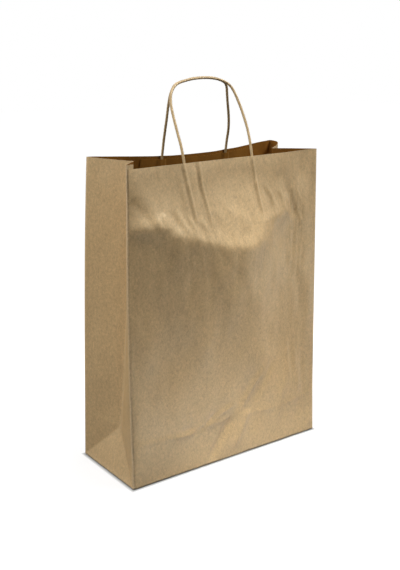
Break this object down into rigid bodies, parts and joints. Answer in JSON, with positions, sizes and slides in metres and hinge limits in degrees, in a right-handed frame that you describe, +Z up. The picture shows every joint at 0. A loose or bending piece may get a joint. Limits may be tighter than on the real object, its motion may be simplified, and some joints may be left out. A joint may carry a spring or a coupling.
{
  "type": "paper carrier bag",
  "caption": "Tall block-bottom kraft paper carrier bag with tucked-in side gussets, open mouth and twisted paper cord handles.",
  "frame": {"origin": "middle of the base rectangle, on the underside of the outer bottom flap that the bag stands on", "axes": "+Z up towards the mouth and handles; +X towards the viewer's right when facing the front panel; +Y from the front panel to the back panel"},
  "size_m": [0.3228, 0.1409, 0.5218],
  "materials": {
    "kraft_sheet": "brown kraft paper, faintly glazed",
    "paper_cord": "twisted brown kraft paper cord",
    "kraft_strip": "plain brown kraft paper, matt"
  },
  "bodies": {
    "root": {"bag_body": "kraft_sheet", "front_handle_cord": "paper_cord", "back_handle_cord": "paper_cord", "front_base_strip": "kraft_strip", "front_cover_strip": "kraft_strip", "back_base_strip": "kraft_strip", "back_cover_strip": "kraft_strip"}
  },
  "joints": []
}
